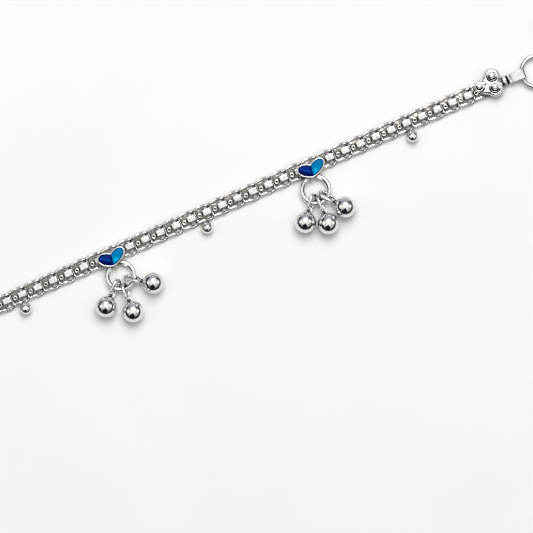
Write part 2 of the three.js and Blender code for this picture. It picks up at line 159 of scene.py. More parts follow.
class StageSettings(bpy.types.PropertyGroup):
    """The table, the light and the camera."""

    elevation: FloatProperty(name="Elevation", description="Camera above the table, in degrees", default=89.0)
    turn: FloatProperty(name="Turn", description="Camera about the upright, in degrees", default=24.0)
    lens: FloatProperty(name="Lens", description="Focal length in millimetres", default=300.0, min=1.0)
    picture_width: length("Picture width", "Width of table that the picture shows", 82.6)
    look_at: FloatVectorProperty(
        name="Look at",
        description="The middle of the picture, from the first heart",
        size=2,
        default=(-0.01256, -0.01107),
        unit="LENGTH",
    )
    floor_colour: colour("Table colour", "Colour of the table", (0.86, 0.86, 0.84))
    seed: IntProperty(name="Seed", description="Fixed start of the small differences", default=4, min=0)


# --- shapes ---


class Shape:
    """Points and faces of a piece, gathered before they become a mesh."""

    def __init__(self):
        self.points = []
        self.faces = []

    def add(self, part, place=None):
        """Adds another shape's points and faces, moved to a place."""
        first = len(self.points)
        self.points += [place @ point for point in part.points] if place else part.points
        self.faces += [tuple(first + i for i in face) for face in part.faces]
        return self


def ray(turn, radius=1.0):
    """A flat point so far from the middle, at an angle in radians."""
    return Vector((radius * cos(turn), radius * sin(turn)))


def circle(radius, sides):
    """A round section as (side, up) pairs."""
    return [ray(tau * i / sides, radius) for i in range(sides)]


def skin(rows, count, first=0, closed=False):
    """The faces between neighbouring rows of points, each row a closed outline of so many points."""
    faces = []
    for row in range(rows if closed else rows - 1):
        low, high = first + row * count, first + (row + 1) % rows * count
        for j in range(count):
            k = (j + 1) % count
            faces.append((low + j, low + k, high + k, high + j))
    return faces


def stack(loops, closed=False):
    """Outlines one after another, skinned, and closed at both ends or into a ring."""
    shape = Shape()
    count = len(loops[0])
    shape.points = [point for loop in loops for point in loop]
    shape.faces = skin(len(loops), count, closed=closed)
    if not closed:
        last = len(shape.points) - count
        shape.faces += [tuple(reversed(range(count))), tuple(range(last, last + count))]
    return shape


def sweep(path, section, scales=None, closed=True, up=Vector((0, 0, 1))):
    """A section carried along a path. Each scale is one number for the whole section there."""
    loops = []
    for i, at in enumerate(path):
        before = path[i - 1] if closed or i > 0 else at
        after = path[(i + 1) % len(path)] if closed or i < len(path) - 1 else at
        along = (after - before).normalized()
        side = along.cross(up).normalized()
        rise = side.cross(along)
        scale = scales[i] if scales else 1.0
        loops.append([at + side * a * scale + rise * b * scale for a, b in section])
    return stack(loops, closed)


def between_poles(start, rings, end):
    """Rings of points skinned from one pole to the other."""
    shape = Shape()
    count, last = len(rings[0]), len(rings) * len(rings[0]) + 1
    shape.points = [start, *(point for ring in rings for point in ring), end]
    shape.faces = skin(len(rings), count, 1)
    for j in range(count):
        k = (j + 1) % count
        shape.faces += [(0, 1 + k, 1 + j), (last, last - count + j, last - count + k)]
    return shape


def lathe(profile, segments):
    """A profile of (radius, height) pairs from pole to pole, turned round +Z."""
    (_, bottom), *middle, (_, top) = profile
    rings = [[Vector((*point, height)) for point in circle(radius, segments)] for radius, height in middle]
    return between_poles(Vector((0, 0, bottom)), rings, Vector((0, 0, top)))


def flattened(radius, flats, step=18):
    """A round section as (side, up) pairs with a flat between each pair of angles, in degrees."""
    points = []
    for i, (low, high) in enumerate(flats):
        start, end = (ray(radians(angle), radius) for angle in (low, high))
        points += [start.lerp(end, share) for share in (0.0, 0.12, 0.88)]
        after = flats[(i + 1) % len(flats)][0] + (360 if i + 1 == len(flats) else 0)
        count = ceil((after - high) / step)
        points += [ray(radians(high + (after - high) * k / count), radius) for k in range(count)]
    return points


def wire_loop(long, wide, wire, steps, sides=12, section=None):
    """A ring of wire in the table's plane, stretched along X where it is longer than wide."""
    path = []
    for i in range(steps):
        x, y = ray(tau * (i + 0.5) / steps, (wide - wire) / 2)
        path.append(Vector((x + copysign((long - wide) / 2, x), y, 0)))
    return sweep(path, section or circle(wire / 2, sides))


def pillow(long, wide, tall, ends=0.3, corners=0.35, rows=12, columns=24):
    """A box with softly rounded edges round the origin."""

    def power(value, exponent):
        return copysign(abs(value) ** exponent, value)

    rings = []
    for i in range(1, rows):
        tilt = -pi / 2 + pi * i / rows
        reach, height = power(cos(tilt), ends), power(sin(tilt), ends)
        ring = []
        for j in range(columns):
            turn = tau * (j + 0.5) / columns
            x, y = reach * power(cos(turn), corners), reach * power(sin(turn), corners)
            ring.append(Vector((x * long / 2, y * wide / 2, height * tall / 2)))
        rings.append(ring)
    return between_poles(Vector((0, 0, -tall / 2)), rings, Vector((0, 0, tall / 2)))


def ball(radius, turn, bands):
    """The profile of a ball from its lower pole up through so much of a turn, in radians."""
    points = [ray(turn * i / bands, radius) for i in range(1, bands + 1)]
    return [(0, -radius), *[(point.y, -point.x) for point in points]]


def smooth(low, high, value):
    """0 below low, 1 above high, and an S between."""
    t = min(max((value - low) / (high - low), 0.0), 1.0)
    return t * t * (3 - 2 * t)


def placed(x=0.0, y=0.0, z=0.0, turn=0.0):
    return Matrix.Translation((x, y, z)) @ Matrix.Rotation(turn, 4, "Z")


def add_object(name, data):
    """A new object in the scene."""
    made = bpy.data.objects.new(name, data)
    bpy.context.scene.collection.objects.link(made)
    return made


def mesh_object(name, shape, material, crease=40.0):
    """A smooth object with its faces pointing out."""
    mesh = bpy.data.meshes.new(name)
    mesh.from_pydata(shape.points, [], shape.faces)
    work = bmesh.new()
    work.from_mesh(mesh)
    bmesh.ops.recalc_face_normals(work, faces=work.faces)
    work.to_mesh(mesh)
    work.free()
    mesh.shade_smooth()
    mesh.set_sharp_from_angle(angle=radians(crease))
    mesh.materials.append(material)
    return add_object(name, mesh)


def finished(piece, slot, *nodes):
    """Hands a piece over: it rides with the anklet and stands for these nodes."""
    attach(piece, "root")
    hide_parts(*nodes)


def fine(node, shape, place, material=None, slot="silver", crease=40.0, lobe=None):
    """Makes the fine piece of a node at a place and hands it over. An enamel also gets its "lobe" values."""
    piece = mesh_object(f"{node}_fine", Shape().add(shape, place), material or silver("Polished"), crease)
    if lobe:
        values = piece.data.attributes.new("lobe", "FLOAT_VECTOR", "POINT")
        values.data.foreach_set("vector", [part for value in lobe for part in value])
    finished(piece, slot, node)


# --- the loop's layout ---


def loop_shift():
    """From the first heart's frame to the part's own, found from where the clasp ring lies."""
    low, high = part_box("clasp_ring")
    middle = (low + high) / 2
    return Vector((middle.x, middle.y)) - Vector(CLASP_RING_CENTRE) * MM


def cap_place(end):
    """Where the small lobe of an end cap sits, and the way the cap points."""
    angle = radians(CAP_ANGLES[end])
    reach = bpy.context.scene.anklet_clasp.cap_to_ring
    at = Vector(CLASP_RING_CENTRE) * MM - ray(angle, reach) + loop_shift()
    return placed(at.x, at.y, 0, angle)


class Route:
    """The chain's middle line: straights and round bends, read by the distance from the clasp end."""

    def __init__(self):
        shift = loop_shift()
        spacing = HEART_SPACING * MM
        corners = [(Vector((x, y)) * spacing + shift, bend * MM) for x, y, bend in FAR_CORNERS]
        cap = cap_place("b")
        lead = (cap @ Vector((-CAP_LEAD * spacing, 0, 0))).to_2d()
        corners.append((lead, CAP_LEAD_BEND * spacing))
        here = Vector(CHAIN_START) * MM + shift
        stops = [here, *[at for at, bend in corners], cap.translation.to_2d()]
        self.runs = []
        for i, (at, bend) in enumerate(corners):
            into = (at - stops[i]).normalized()
            out = (stops[i + 2] - at).normalized()
            turn = acos(into.dot(out))
            hand = copysign(1, into.cross(out))
            cut = bend * tan(turn / 2)
            entry = at - into * cut
            self.runs += [((entry - here).length, here, into, 0.0), (bend * turn, entry, into, hand / bend)]
            here = at + out * cut
        rest = stops[-1] - here
        self.runs.append((rest.length, here, rest.normalized(), 0.0))
        self.length = sum(run[0] for run in self.runs)
        self.links = round(self.length / bpy.context.scene.anklet_chain.pitch)
        self.pitch = self.length / self.links

    def past_first(self, spacings, drop=0.0):
        """A place so many heart spacings past the first heart."""
        return self.at((FIRST_HEART_AT + spacings * HEART_SPACING) * MM, drop)

    def at(self, distance, drop=0.0, height=0.0):
        """A place so far from the clasp end, with +X back towards it and +Y into the loop."""
        distance = min(max(distance, 0.0), self.length)
        for span, start, way, curve in self.runs:
            if distance <= span:
                break
            distance -= span
        bend = Matrix.Rotation(curve * distance, 2)
        heading = bend @ way
        if curve:
            across = Vector((-way.y, way.x)) / curve
            at = start + across - bend @ across
        else:
            at = start + way * distance
        at = at + Vector((-heading.y, heading.x)) * drop
        return placed(at.x, at.y, height, atan2(heading.y, heading.x) - pi)


# --- materials ---


def sockets(group, direction, table):
    """Adds sockets to a node group. The table holds each one's name, kind and default."""
    for name, kind, value in table:
        made = group.interface.new_socket(name=name, in_out=direction, socket_type=f"NodeSocket{kind}")
        if value is not None:
            made.default_value = value


def feed(tree, node, inputs):
    """Gives each input of a node a value or another node's output."""
    for name, value in inputs.items():
        if isinstance(value, bpy.types.NodeSocket):
            tree.links.new(value, node.inputs[name])
        else:
            node.inputs[name].default_value = value


def add_node(tree, kind, inputs=None, **settings):
    """A new node with its settings and inputs."""
    node = tree.nodes.new(kind)
    for name, value in settings.items():
        setattr(node, name, value)
    feed(tree, node, inputs or {})
    return node


def mixed(tree, a, b, blend="MULTIPLY", factor=1.0):
    """Two colours mixed. Each of them, and the factor, is a value or a node's output."""
    inputs = {"Factor": factor, "A": a, "B": b}
    return add_node(tree, "ShaderNodeMix", inputs, data_type="RGBA", blend_type=blend).outputs["Result"]


def ramp(tree, source, stops):
    """A colour ramp over a value. Stops are (position, colour) or (position, value)."""
    node = add_node(tree, "ShaderNodeValToRGB", {"Fac": source})
    for i, (position, colour) in enumerate(stops):
        element = node.color_ramp.elements[i] if i < 2 else node.color_ramp.elements.new(position)
        element.position = position
        element.color = (*colour, 1.0) if isinstance(colour, tuple) else (colour, colour, colour, 1.0)
    return node.outputs["Color"]


def handmade_surface_and_shade():
    """A group with the look of hand finished pieces, a mask and a wavy normal, and what the painted shade
    is read from: how open a spot lies and its height as a share of HEIGHT_STEP."""
    name = "Handmade surface"
    if name in bpy.data.node_groups:
        return bpy.data.node_groups[name]
    group = bpy.data.node_groups.new(name, "ShaderNodeTree")
    sizes = (("Patch size", 900.0), ("Wave size", 700.0), ("Wave depth", 0.1), ("Recess size", 0.6 * MM))
    sockets(group, "INPUT", [(label, "Float", value) for label, value in sizes])
    sockets(group, "OUTPUT", [(label, "Float", None) for label in ("Mask", "Open", "Height")])
    sockets(group, "OUTPUT", [("Normal", "Vector", None)])
    given = add_node(group, "NodeGroupInput").outputs
    place = add_node(group, "ShaderNodeTexCoord").outputs["Object"]
    patches = {"Vector": place, "Scale": given["Patch size"], "Detail": 3.0}
    waves = {"Vector": place, "Scale": given["Wave size"], "Detail": 1.0}
    mask, relief = (add_node(group, "ShaderNodeTexNoise", noise).outputs["Fac"] for noise in (patches, waves))
    depth = {"Strength": given["Wave depth"], "Distance": 0.1 * MM, "Height": relief}
    bump = add_node(group, "ShaderNodeBump", depth)
    recess = add_node(group, "ShaderNodeAmbientOcclusion", {"Distance": given["Recess size"]}, samples=8)
    split = add_node(group, "ShaderNodeSeparateXYZ", {"Vector": place})
    height = add_node(group, "ShaderNodeMath", {0: split.outputs["Z"], 1: HEIGHT_STEP}, operation="DIVIDE")
    results = {"Mask": mask, "Open": recess.outputs["AO"]}
    results |= {"Height": height.outputs["Value"], "Normal": bump.outputs["Normal"]}
    add_node(group, "NodeGroupOutput", results)
    return group


def surfaced(name, patch, wave, depth, recess=0.6 * MM):
    """A new material with that surface. Returns its node tree, its shader and the surface's outputs too."""
    material = bpy.data.materials.new(name)
    material.use_nodes = True
    tree = material.node_tree
    shader = tree.nodes["Principled BSDF"]
    sizes = {"Patch size": patch, "Wave size": wave, "Wave depth": depth, "Recess size": recess}
    surface = add_node(tree, "ShaderNodeGroup", sizes, node_tree=handmade_surface_and_shade()).outputs
    feed(tree, shader, {"Normal": surface["Normal"]})
    return material, tree, shader, surface


# For each finish: patch size, wave size and wave depth, how far a recess reaches, the duller and the brighter
# tone, how open a spot is where the painted shade in recesses is deepest and where it ends, and the heights in
# millimetres between which the painted shade towards the table ends.
FINISHES_AND_SHADES = {
    "Polished": (1500, 900, 0.08, 0.6 * MM, (0.77, 0.76, 0.745), (0.84, 0.832, 0.82), (0.4, 0.93), None),
    "Cast": (2200, 1300, 0.1, 0.5 * MM, (0.82, 0.81, 0.8), (0.89, 0.885, 0.875), (0.45, 0.88), (1.25, 1.62)),
    "Stamped": (2600, 1900, 0.3, 0.5 * MM, (0.62, 0.61, 0.6), (0.91, 0.905, 0.895), (0.4, 0.93), (0.25, 0.75)),
}
HEIGHT_STEP = 2 * MM
# Painted shade: the colour of the deepest recess, the colour low down towards the table, and no shade.
PAINTED_RECESS_SHADE, PAINTED_LOW_SHADE, NO_PAINTED_SHADE = (0.07, 0.062, 0.055), (0.36, 0.335, 0.31), (1.0, 1.0, 1.0)


def silver(finish):
    """Silver with painted shade: darkened where it lies in a recess. Cast and stamped pieces also get painted
    shade towards the table.
    """
    name = f"{finish} silver"
    if name in bpy.data.materials:
        return bpy.data.materials[name]
    *sizes, dull, clean, (most_shaded, clear), heights = FINISHES_AND_SHADES[finish]
    material, tree, shader, surface = surfaced(name, *sizes)
    tone = ramp(tree, surface["Mask"], ((0.4, dull), (0.56, clean)))
    # Painted shade in recesses, by how open each spot lies.
    colour = mixed(tree, tone, ramp(tree, surface["Open"], ((most_shaded, PAINTED_RECESS_SHADE), (clear, NO_PAINTED_SHADE))))
    if heights:
        # Painted shade towards the table, by height.
        low, high = (height * MM / HEIGHT_STEP for height in heights)
        colour = mixed(tree, colour, ramp(tree, surface["Height"], ((low, PAINTED_LOW_SHADE), (high, NO_PAINTED_SHADE))))
    roughness = ramp(tree, surface["Mask"], ((0.36, 0.1), (0.6, 0.04)))
    feed(tree, shader, {"Base Color": colour, "Roughness": roughness, "Metallic": 1.0})
    return material


def enamel(name, colour, edge, painted_sheen, way):
    """Fired enamel, its reflection kept faint: another tone along its edge, and a painted sheen of paler
    stripes across one way.
    """
    material, tree, shader, surface = surfaced(name, 2600.0, 1300.0, 0.2)
    spot = add_node(tree, "ShaderNodeAttribute", attribute_name="lobe").outputs["Vector"]
    across = add_node(tree, "ShaderNodeVectorMath", {0: spot, 1: way}, operation="DOT_PRODUCT")
    wander = {0: surface["Mask"], 1: 0.55, 2: across.outputs["Value"]}
    along = add_node(tree, "ShaderNodeMath", wander, operation="MULTIPLY_ADD").outputs["Value"]
    near_edge = add_node(tree, "ShaderNodeSeparateXYZ", {"Vector": spot}).outputs["Z"]
    border = ramp(tree, near_edge, ((0.62, 0.0), (0.98, 1.0)))
    # Painted sheen: the paler stripes across the lobe.
    body = mixed(tree, ramp(tree, along, painted_sheen), (*edge, 1.0), "MIX", border)
    glaze = mixed(tree, body, (*colour, 1.0))
    feed(tree, shader, {"Base Color": glaze, "Roughness": 0.22, "Specular IOR Level": 0.02})
    return material


# --- chain ---

CHAIN_LIFT = 0.01 * MM
LINK_SWAY = radians(0.8)


def filled(points, step):
    """A closed outline with points added until no side is longer than a step."""
    result = []
    for i, point in enumerate(points):
        after = points[(i + 1) % len(points)]
        count = max(1, ceil((after - point).length / step))
        result += [point.lerp(after, k / count) for k in range(count)]
    return result


def frame_link(sizes):
    """A frame link: from its high cross bar beside this tile to its low one under the next, towards +X."""
    left, right, half, bend = 0.77 * MM, 3.2 * MM, sizes.half_width, 0.28 * MM
    plan = []
    for quarter, (x, y) in enumerate(((1, 1), (-1, 1), (-1, -1), (1, -1))):
        corner = Vector(((right - bend) if x > 0 else (left + bend), y * (half - bend)))
        plan += [corner + ray(radians(90 * quarter + 15 * i), bend) for i in range(7)]
    path, scales = [], []
    for point in filled(plan, 0.18 * MM):
        share = (point.x - left) / (right - left)
        if point.y > 0:
            reach = half + (0.15 * sin(pi * min(share * 1.12, 1.0)) - 0.09) * MM
        else:
            reach = half + (0.2 * smooth(0.42, 0.7, share) - 0.1 * smooth(0.8, 1, share) - 0.07) * MM
        z = 0.7 * MM - 0.44 * MM * smooth(0.4, 0.85, share)
        path.append(Vector((point.x, point.y / half * reach, z)))
        thin = 1.0 - smooth(0.7, 0.97, abs(point.y) / half)
        scales.append(1.0 - (1.0 - sizes.bar_wire / sizes.side_wire) * thin)
    return sweep(path, circle(sizes.side_wire / 2, 10), scales)


def chain_repeat(sizes):
    """One repeat of the chain: a tile, the small eyelet beside it, a thin plate under them and the frame link
    that joins the next. The low eyelet and plate get the painted shade towards the table.
    """
    shape = Shape()
    low = 0.32 * MM
    tile = pillow(sizes.tile_length, sizes.tile_width, sizes.tile_top - low, 0.22, 0.2)
    shape.add(tile, placed(z=(sizes.tile_top + low) / 2))
    wire = 0.33 * MM
    eyelet = wire_loop(sizes.eyelet, sizes.eyelet, wire, 28, 10)
    shape.add(eyelet, placed(1.34 * MM, -0.12 * MM, 0.42 * MM))
    # A thin plate under the tile, for the strap that wraps beneath; the painted shade towards the table
    # darkens it to stand for the shade seen through the chain's windows.
    under = pillow(2.3 * MM, 1.7 * MM, 0.14 * MM, rows=6, columns=16)
    shape.add(under, placed(1.3 * MM, 0, 0.16 * MM))
    shape.add(frame_link(sizes))
    return shape


def links_on_points():
    """A geometry group that sets one link on every point, turned by the point's own turn."""
    name = "Links on points"
    if name in bpy.data.node_groups:
        return bpy.data.node_groups[name]
    group = bpy.data.node_groups.new(name, "GeometryNodeTree")
    geometry = ("Geometry", "Geometry", None)
    sockets(group, "INPUT", (geometry, ("Link", "Object", None), ("Material", "Material", None)))
    sockets(group, "INPUT", (("Sway", "Float", 0.0), ("Seed", "Int", 0)))
    sockets(group, "OUTPUT", (geometry,))
    given = add_node(group, "NodeGroupInput").outputs
    source = add_node(group, "GeometryNodeObjectInfo", {"Object": given["Link"]})
    turn = add_node(group, "GeometryNodeInputNamedAttribute", {"Name": "turn"}, data_type="FLOAT_VECTOR")
    most = add_node(group, "ShaderNodeCombineXYZ", {axis: given["Sway"] for axis in "XYZ"}).outputs["Vector"]
    least = add_node(group, "ShaderNodeVectorMath", {0: most, "Scale": -1.0}, operation="SCALE")
    limits = {0: least.outputs["Vector"], 1: most, "Seed": given["Seed"]}
    sway = add_node(group, "FunctionNodeRandomValue", limits, data_type="FLOAT_VECTOR")
    turns = {0: turn.outputs["Attribute"], 1: sway.outputs[0]}
    turned = add_node(group, "ShaderNodeVectorMath", turns, operation="ADD").outputs["Vector"]
    placing = {"Points": given["Geometry"], "Instance": source.outputs["Geometry"], "Rotation": turned}
    points = add_node(group, "GeometryNodeInstanceOnPoints", placing)
    realize = add_node(group, "GeometryNodeRealizeInstances", {"Geometry": points.outputs["Instances"]})
    painting = {"Geometry": realize.outputs["Geometry"], "Material": given["Material"]}
    paint = add_node(group, "GeometryNodeSetMaterial", painting)
    add_node(group, "NodeGroupOutput", {"Geometry": paint.outputs["Geometry"]})
    return group


def chain_piece(name, places, link, material, seed):
    """A stretch of chain with a link at every place."""
    mesh = bpy.data.meshes.new(f"{name}_places")
    mesh.from_pydata([place.translation for place in places], [], [])
    turns = mesh.attributes.new("turn", "FLOAT_VECTOR", "POINT")
    for i, place in enumerate(places):
        turns.data[i].vector = place.to_euler()
    carrier = add_object(f"{name}_places", mesh)
    group = links_on_points()
    modifier = carrier.modifiers.new("Links", "NODES")
    modifier.node_group = group
    inputs = {item.name: item.identifier for item in group.interface.items_tree if item.in_out == "INPUT"}
    for label, value in (("Link", link), ("Material", material), ("Sway", LINK_SWAY), ("Seed", seed)):
        modifier[inputs[label]] = value
    bpy.context.view_layer.update()
    seen = carrier.evaluated_get(bpy.context.evaluated_depsgraph_get())
    plain = bpy.data.meshes.new_from_object(seen)
    plain.name = name
    carrier.modifiers.remove(modifier)
    carrier.data = plain
    carrier.name = name
    bpy.data.meshes.remove(mesh)
    return carrier


class ANKLET_OT_chain(bpy.types.Operator):
    """Build the chain's links along the loop"""

    bl_idname = "anklet.chain"
    bl_label = "Chain"

    def execute(self, context):
        route = Route()
        metal, seed = silver("Stamped"), context.scene.anklet_stage.seed
        link = mesh_object("one_repeat", chain_repeat(context.scene.anklet_chain), metal)
        half = (route.links + 1) // 2
        for name, span in (("chain_front", range(1, half)), ("chain_back", range(half, route.links + 1))):
            places = [route.at(i * route.pitch, height=CHAIN_LIFT) for i in span]
            finished(chain_piece(f"{name}_links", places, link, metal, seed), "silver", name)
        bpy.data.meshes.remove(link.data)
        return {"FINISHED"}


# --- hearts ---

# Each enamel's tones as shares of its colour: along the edge, then by the way across, whose paler stops are a
# painted sheen, then that way.
DARK_TONES_AND_SHEEN = (
    (1.0, 0.3, 0.35),
    ((0.05, (1.0, 0.3, 0.4)), (0.28, (1.0, 1.0, 1.0)), (0.4, (1.0, 5.6, 2.1)), (0.5, (1.0, 1.0, 1.0))),
    (0.55, 0.75, 0.0),
)
LIGHT_TONES_AND_SHEEN = (
    (0.5, 0.55, 0.7),
    ((0.1, (1.0, 0.86, 0.9)), (0.5, (1.0, 1.0, 1.0)), (0.72, (1.0, 1.15, 1.05)), (0.98, (1.0, 2.2, 1.65))),
    (-0.45, -0.7, 0.0),
)


def bezier(a, b, c, d, steps):
    """Points of one curve, without its last."""
    shares = [(i / steps, 1 - i / steps) for i in range(steps)]
    return [a * s**3 + b * 3 * s * s * t + c * 3 * s * t * t + d * t**3 for t, s in shares]


def heart_lobe(side, sizes, steps=14):
    """One lobe in plan from the tip round the outside to the notch, the same curve as the part's."""
    spread, tip, outer, crown = sizes.half_spread, sizes.tip, side * sizes.half_spread, sizes.crown
    lower = ((-0.1 * spread, -tip), (-0.1 * spread + 0.4 * outer, -0.9 * tip), (outer, -0.35 * tip))
    upper = ((outer, sizes.shoulder), (outer, crown), (0.42 * outer, crown), (0, sizes.shoulder))
    curve = [Vector(point) for point in (*lower, *upper)]
    return [*bezier(*curve[:4], steps), *bezier(*curve[3:], steps), curve[-1]]


def offset(points, distance):
    """A closed outline moved outwards; inwards for a negative distance."""
    area = sum(points[i - 1].cross(p) for i, p in enumerate(points))
    outward = copysign(1, area) * distance
    moved = []
    for i, point in enumerate(points):
        before = (point - points[i - 1]).normalized()
        after = (points[(i + 1) % len(points)] - point).normalized()
        side = Vector((before.y + after.y, -before.x - after.x)).normalized()
        mitre = max(0.5, side.x * before.y - side.y * before.x)
        moved.append(point + side * outward / mitre)
    return moved


def heart_outline(sizes, grow):
    """The whole heart in plan, grown by a distance, with the two lobes kept apart at the notch."""
    left, right = heart_lobe(-1, sizes), heart_lobe(1, sizes)
    plan = [*left[:-1], *reversed(right[1:])]
    moved = offset(plan, grow)
    notch = len(left) - 1
    for step in range(1, 6):
        for index, hand in ((notch - step, -1), (notch + step, 1)):
            if moved[index].x * hand < 0:
                moved[index] = Vector((0, max(moved[notch].y, sizes.shoulder)))
    return moved


def at_height(points, height):
    return [Vector((p.x, p.y, height)) for p in points]


def heart_setting(sizes, bells, lay):
    """The silver plate with its raised rim, and the hook behind it that holds the station ring."""
    rim, base, top = (size / MM for size in (sizes.rim, sizes.base, sizes.base + sizes.thickness))
    profile = ((rim - 0.12, base), (rim - 0.02, base + 0.1), (rim, base + 0.2), (rim, top - 0.12))
    profile += ((rim - 0.03, top - 0.04), (rim - 0.09, top), (0.09, top), (0.03, top - 0.05), (0, top - 0.3))
    shape = stack([at_height(heart_outline(sizes, grow * MM), height * MM) for grow, height in profile])
    wire = 0.3 * MM
    radius = bells.ring_wire / 2 + 0.1 * MM + wire / 2
    x, y = lay["ring"]
    held = Vector((x * MM, y * MM + ring_radius(bells), bells.ring_hold))
    turns = [radians(50 + 12.5 * i) for i in range(22)]
    path = [held + Vector((0, *ray(turn, radius))) for turn in turns]
    return shape.add(sweep(path, circle(wire / 2, 10), closed=False, up=Vector((1, 0, 0))))


def enamel_lobe(side, sizes):
    """The enamel of one lobe: a low dome that fills its side of the heart. Its "lobe" values are the place
    across the lobe in millimetres and how near the edge it is."""
    plan = heart_lobe(side, sizes)
    middle = sum(plan, Vector((0, 0))) / len(plan)
    top = sizes.base + sizes.thickness
    loops = [at_height(plan, top - 0.28 * MM), at_height(plan, top - 0.05 * MM)]
    shares = (0.97, 0.9, 0.78, 0.62, 0.44, 0.26, 0.1)
    for share in shares:
        loop = [middle + (p - middle) * share for p in plan]
        loops.append(at_height(loop, top - 0.05 * MM + 0.17 * MM * sqrt(1 - share**2)))
    values = []
    for share, loop in zip((1.0, 1.0, *shares), loops):
        values += [((p.x - middle.x) / MM, (p.y - middle.y) / MM, share) for p in loop]
    return stack(loops), values


class ANKLET_OT_hearts(bpy.types.Operator):
    """Build the heart settings and their two enamels"""

    bl_idname = "anklet.hearts"
    bl_label = "Hearts"

    def execute(self, context):
        sizes, bells = context.scene.anklet_heart, context.scene.anklet_bell
        route = Route()
        dark = enamel("Dark enamel", sizes.dark, *DARK_TONES_AND_SHEEN)
        light = enamel("Light enamel", sizes.light, *LIGHT_TONES_AND_SHEEN)
        for number in range(1, HEARTS + 1):
            place = route.past_first(number - 1, STATION_DROP)
            setting = heart_setting(sizes, bells, LAYS[(number - 1) % 2])
            fine(f"station_{number}_heart_setting", setting, place)
            for side, slot, material in ((-1, "enamel_dark", dark), (1, "enamel_light", light)):
                shape, values = enamel_lobe(side, sizes)
                fine(f"station_{number}_{slot}", shape, place, material, slot, lobe=values)
        return {"FINISHED"}


# --- rings, jump links and bells ---

STATION_DROP = 0.38 * MM
TAUT_BITE = 0.08 * MM
LINK_CLEAR = 0.15 * MM
LOOSE_STATIONS = 2
STATION_RING_FLATS = ((107, 159),)


def bell_reach(sizes):
    """From a bell's middle to the middle of its eye."""
    return sizes.bell / 2 + 0.02 * MM + sizes.eye / 2 - sizes.eye_wire / 2


def bell_shape(sizes):
    """A round bell with its neck and eye along +X."""
    radius = sizes.bell / 2
    end = radius + 0.1 * MM
    profile = ball(radius, pi - asin(sizes.neck / sizes.bell), 30)
    profile += [(sizes.neck * 0.42, radius + 0.03 * MM), (sizes.neck * 0.36, end), (0, end)]
    shape = Shape().add(lathe(profile, 44), Matrix.Rotation(pi / 2, 4, "Y"))
    eye = wire_loop(sizes.eye, sizes.eye, sizes.eye_wire, 30, 10)
    return shape.add(eye, placed(bell_reach(sizes)))


def ring_radius(sizes):
    """From the middle of the station ring to the middle of its wire."""
    return (sizes.ring_outside - sizes.ring_wire) / 2


def ring_fall(sizes):
    """How far the station ring tilts from the hook that holds it to where it rests."""
    return asin((sizes.ring_hold - sizes.ring_rest) / (2 * ring_radius(sizes)))


def hang(sizes, lay, bell, taut):
    """How one bell hangs on the station ring: the bell's place and its jump link's."""
    x, y, roll, nod = bell
    nod = radians(nod)
    ring = Vector((*lay["ring"], 0)) * MM
    lies = Vector((x, y, 0)) * MM
    outward = (lies - ring).normalized()
    on_ring = ring + outward * ring_radius(sizes)
    on_ring.z = sizes.ring_hold - tan(ring_fall(sizes)) * (ring.y + ring_radius(sizes) - on_ring.y)
    reach = bell_reach(sizes)
    level_reach = outward * reach * cos(nod)
    eye = lies - level_reach
    eye_height = sizes.bell / 2 - reach * sin(nod)
    span = sizes.link_length - sizes.link_wire
    in_eye = (sizes.eye - sizes.eye_wire) / 2 - (sizes.eye_wire + sizes.link_wire) / 2 + TAUT_BITE
    if taut:
        pull = span - (sizes.ring_wire + sizes.link_wire) / 2 + TAUT_BITE + in_eye
        eye = Vector((on_ring.x, on_ring.y, 0)) + outward * sqrt(pull**2 - (eye_height - on_ring.z) ** 2)
    eye.z = eye_height
    along = (on_ring - eye).normalized()
    if not taut:
        rise = max(along.z, (sizes.link_width / 2 + LINK_CLEAR - eye.z) / (span / 2))
        along = -outward * sqrt(1 - rise**2)
        along.z = rise
    centre = eye + level_reach
    heading = atan2(-outward.y, -outward.x)
    bell_place = placed(centre.x, centre.y, sizes.bell / 2, heading) @ Matrix.Rotation(nod, 4, "Y")
    level = Vector((0, 0, 1)).cross(along).normalized()
    basis = Matrix((along, level, along.cross(level))).transposed().to_4x4()
    middle = eye + along * (span / 2 + (in_eye if taut else 0))
    link_place = Matrix.Translation(middle) @ basis @ Matrix.Rotation(radians(roll), 4, "X")
    return bell_place, link_place


def station_ring(sizes, lay):
    """The ring under a heart, tilted from where the hook holds it to where it rests."""
    section = flattened(sizes.ring_wire / 2, STATION_RING_FLATS)
    ring = wire_loop(sizes.ring_outside, sizes.ring_outside, sizes.ring_wire, 72, section=section)
    x, y = lay["ring"]
    held = placed(x * MM, y * MM + ring_radius(sizes), sizes.ring_hold)
    return Shape().add(ring, held @ Matrix.Rotation(ring_fall(sizes), 4, "X") @ placed(y=-ring_radius(sizes)))


class ANKLET_OT_bells(bpy.types.Operator):
    """Build the station rings, the jump links and the bells"""

    bl_idname = "anklet.bells"
    bl_label = "Rings and bells"

    def execute(self, context):
        sizes = context.scene.anklet_bell
        route = Route()
        link = wire_loop(sizes.link_length, sizes.link_width, sizes.link_wire, 48)
        for number in range(1, HEARTS + 1):
            lay = LAYS[(number - 1) % 2]
            taut = number > LOOSE_STATIONS
            pieces = {"ring": station_ring(sizes, lay)}
            for i, bell in enumerate(lay["bells"], 1):
                bell_place, link_place = hang(sizes, lay, bell, taut)
                pieces[f"link_{i}"] = Shape().add(link, link_place)
                pieces[f"bell_{i}"] = Shape().add(bell_shape(sizes), bell_place)
            if taut:
                cluster = Shape()
                for shape in pieces.values():
                    cluster.add(shape)
                pieces = {"bell_cluster": cluster}
            place = route.past_first(number - 1, STATION_DROP)
            for kind, shape in pieces.items():
                fine(f"station_{number}_{kind}", shape, place)
        return {"FINISHED"}


